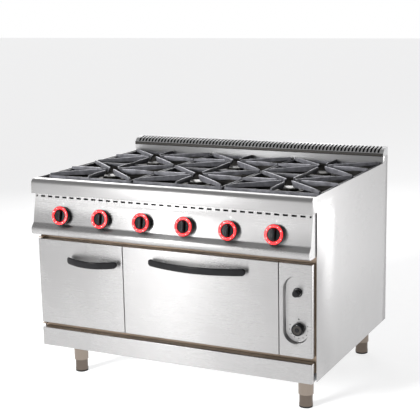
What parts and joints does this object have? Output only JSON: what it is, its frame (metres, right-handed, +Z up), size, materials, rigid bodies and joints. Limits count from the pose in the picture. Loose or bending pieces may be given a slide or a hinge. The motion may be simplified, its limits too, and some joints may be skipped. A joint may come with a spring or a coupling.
{
  "type": "commercial gas range",
  "caption": "Free-standing restaurant gas range with open burners under cast grates, a drop-door oven, a side cabinet and adjustable legs.",
  "frame": {"origin": "centre of the footprint (knob fronts to rear face) at floor level", "axes": "+X to the right seen from the front, +Y to the rear, +Z up"},
  "size_m": [1.2, 0.9292, 0.914],
  "materials": {
    "brushed_steel": "satin brushed stainless sheet",
    "leg_steel": "polished stainless tube",
    "zinc_steel": "zinc plated sheet",
    "dark_enamel": "vitreous enamel",
    "cast_iron": "matt enamelled casting",
    "burner_alloy": "turned cap",
    "black_bakelite": "moulded black",
    "brass": "machined",
    "seal_fibre": "woven rope seal"
  },
  "bodies": {
    "root": {"base_frame": "zinc_steel", "burner_1": "cast_iron", "burner_2": "cast_iron", "burner_3": "cast_iron", "burner_4": "cast_iron", "burner_5": "cast_iron", "burner_6": "cast_iron", "cabinet_hinge_pin": "zinc_steel", "cabinet_liner": "zinc_steel", "control_panel": "brushed_steel", "control_plate": "brushed_steel", "flue_duct": "brushed_steel", "flue_grille": "brushed_steel", "front_frame": "zinc_steel", "gas_manifold": "brass", "kick_panel": "brushed_steel", "left_side_panel": "brushed_steel", "leg_front_left": "leg_steel", "leg_front_right": "leg_steel", "leg_rear_left": "leg_steel", "leg_rear_right": "leg_steel", "oven_burner": "zinc_steel", "oven_door_seal": "seal_fibre", "oven_hinge_rod": "zinc_steel", "oven_liner": "dark_enamel", "oven_rack": "zinc_steel", "oven_sole_plate": "dark_enamel", "rear_panel": "zinc_steel", "right_side_panel": "brushed_steel", "worktop": "brushed_steel"},
    "cabinet_door": {"cabinet_door": "brushed_steel", "cabinet_door_handle": "black_bakelite"},
    "oven_door": {"oven_door": "brushed_steel", "oven_door_liner": "dark_enamel", "oven_door_handle": "black_bakelite"},
    "thermostat_knob": {"thermostat_knob": "black_bakelite"},
    "igniter_button": {"igniter_button": "black_bakelite"},
    "burner_cap_1": {"burner_cap_1": "burner_alloy"},
    "burner_cap_2": {"burner_cap_2": "burner_alloy"},
    "burner_cap_3": {"burner_cap_3": "burner_alloy"},
    "burner_cap_4": {"burner_cap_4": "burner_alloy"},
    "burner_cap_5": {"burner_cap_5": "burner_alloy"},
    "burner_cap_6": {"burner_cap_6": "burner_alloy"},
    "foot_front_left": {"foot_front_left": "leg_steel"},
    "foot_front_right": {"foot_front_right": "leg_steel"},
    "foot_rear_left": {"foot_rear_left": "leg_steel"},
    "foot_rear_right": {"foot_rear_right": "leg_steel"},
    "grate_1": {"grate_1": "cast_iron"},
    "grate_2": {"grate_2": "cast_iron"},
    "grate_3": {"grate_3": "cast_iron"},
    "grate_4": {"grate_4": "cast_iron"},
    "grate_5": {"grate_5": "cast_iron"},
    "grate_6": {"grate_6": "cast_iron"},
    "knob_1": {"knob_1": "black_bakelite"},
    "knob_2": {"knob_2": "black_bakelite"},
    "knob_3": {"knob_3": "black_bakelite"},
    "knob_4": {"knob_4": "black_bakelite"},
    "knob_5": {"knob_5": "black_bakelite"},
    "knob_6": {"knob_6": "black_bakelite"}
  },
  "joints": [
    {"name": "knob_1_turn", "type": "hinge", "parent": "root", "child": "knob_1", "pos_m": [-0.4585, -0.42957, 0.709], "axis": [0, -0.9819, 0.1891], "range_deg": [0, 180]},
    {"name": "knob_2_turn", "type": "hinge", "parent": "root", "child": "knob_2", "pos_m": [-0.2751, -0.42957, 0.709], "axis": [0, -0.9819, 0.1891], "range_deg": [0, 180]},
    {"name": "knob_3_turn", "type": "hinge", "parent": "root", "child": "knob_3", "pos_m": [-0.0917, -0.42957, 0.709], "axis": [0, -0.9819, 0.1891], "range_deg": [0, 180]},
    {"name": "knob_4_turn", "type": "hinge", "parent": "root", "child": "knob_4", "pos_m": [0.0917, -0.42957, 0.709], "axis": [0, -0.9819, 0.1891], "range_deg": [0, 180]},
    {"name": "knob_5_turn", "type": "hinge", "parent": "root", "child": "knob_5", "pos_m": [0.2751, -0.42957, 0.709], "axis": [0, -0.9819, 0.1891], "range_deg": [0, 180]},
    {"name": "knob_6_turn", "type": "hinge", "parent": "root", "child": "knob_6", "pos_m": [0.4585, -0.42957, 0.709], "axis": [0, -0.9819, 0.1891], "range_deg": [0, 180]},
    {"name": "thermostat_turn", "type": "hinge", "parent": "root", "child": "thermostat_knob", "pos_m": [0.533, -0.39541, 0.353], "axis": [0, -1, 0], "range_deg": [0, 270]},
    {"name": "igniter_press", "type": "slide", "parent": "root", "child": "igniter_button", "axis": [0, 1, 0], "range_m": [0, 0.005], "stiffness_N_per_m": 600},
    {"name": "cabinet_door_swing", "type": "hinge", "parent": "root", "child": "cabinet_door", "pos_m": [-0.582, -0.40541, 0.4265], "axis": [0, 0, -1], "range_deg": [0, 110]},
    {"name": "oven_door_drop", "type": "hinge", "parent": "root", "child": "oven_door", "pos_m": [0.132, -0.40641, 0.262], "axis": [1, 0, 0], "range_deg": [0, 90], "stiffness_Nm_per_rad": 3, "springref_deg": -17.19},
    {"name": "foot_front_left_level", "type": "slide", "parent": "root", "child": "foot_front_left", "axis": [0, 0, 1], "range_m": [0, 0.03]},
    {"name": "foot_front_right_level", "type": "slide", "parent": "root", "child": "foot_front_right", "axis": [0, 0, 1], "range_m": [0, 0.03]},
    {"name": "foot_rear_left_level", "type": "slide", "parent": "root", "child": "foot_rear_left", "axis": [0, 0, 1], "range_m": [0, 0.03]},
    {"name": "foot_rear_right_level", "type": "slide", "parent": "root", "child": "foot_rear_right", "axis": [0, 0, 1], "range_m": [0, 0.03]},
    {"name": "grate_1_lift", "type": "slide", "parent": "root", "child": "grate_1", "axis": [0, 0, 1], "range_m": [0, 0.15]},
    {"name": "grate_2_lift", "type": "slide", "parent": "root", "child": "grate_2", "axis": [0, 0, 1], "range_m": [0, 0.15]},
    {"name": "grate_3_lift", "type": "slide", "parent": "root", "child": "grate_3", "axis": [0, 0, 1], "range_m": [0, 0.15]},
    {"name": "grate_4_lift", "type": "slide", "parent": "root", "child": "grate_4", "axis": [0, 0, 1], "range_m": [0, 0.15]},
    {"name": "grate_5_lift", "type": "slide", "parent": "root", "child": "grate_5", "axis": [0, 0, 1], "range_m": [0, 0.15]},
    {"name": "grate_6_lift", "type": "slide", "parent": "root", "child": "grate_6", "axis": [0, 0, 1], "range_m": [0, 0.15]},
    {"name": "burner_cap_1_lift", "type": "slide", "parent": "root", "child": "burner_cap_1", "axis": [0, 0, 1], "range_m": [0, 0.12]},
    {"name": "burner_cap_2_lift", "type": "slide", "parent": "root", "child": "burner_cap_2", "axis": [0, 0, 1], "range_m": [0, 0.12]},
    {"name": "burner_cap_3_lift", "type": "slide", "parent": "root", "child": "burner_cap_3", "axis": [0, 0, 1], "range_m": [0, 0.12]},
    {"name": "burner_cap_4_lift", "type": "slide", "parent": "root", "child": "burner_cap_4", "axis": [0, 0, 1], "range_m": [0, 0.12]},
    {"name": "burner_cap_5_lift", "type": "slide", "parent": "root", "child": "burner_cap_5", "axis": [0, 0, 1], "range_m": [0, 0.12]},
    {"name": "burner_cap_6_lift", "type": "slide", "parent": "root", "child": "burner_cap_6", "axis": [0, 0, 1], "range_m": [0, 0.12]}
  ]
}
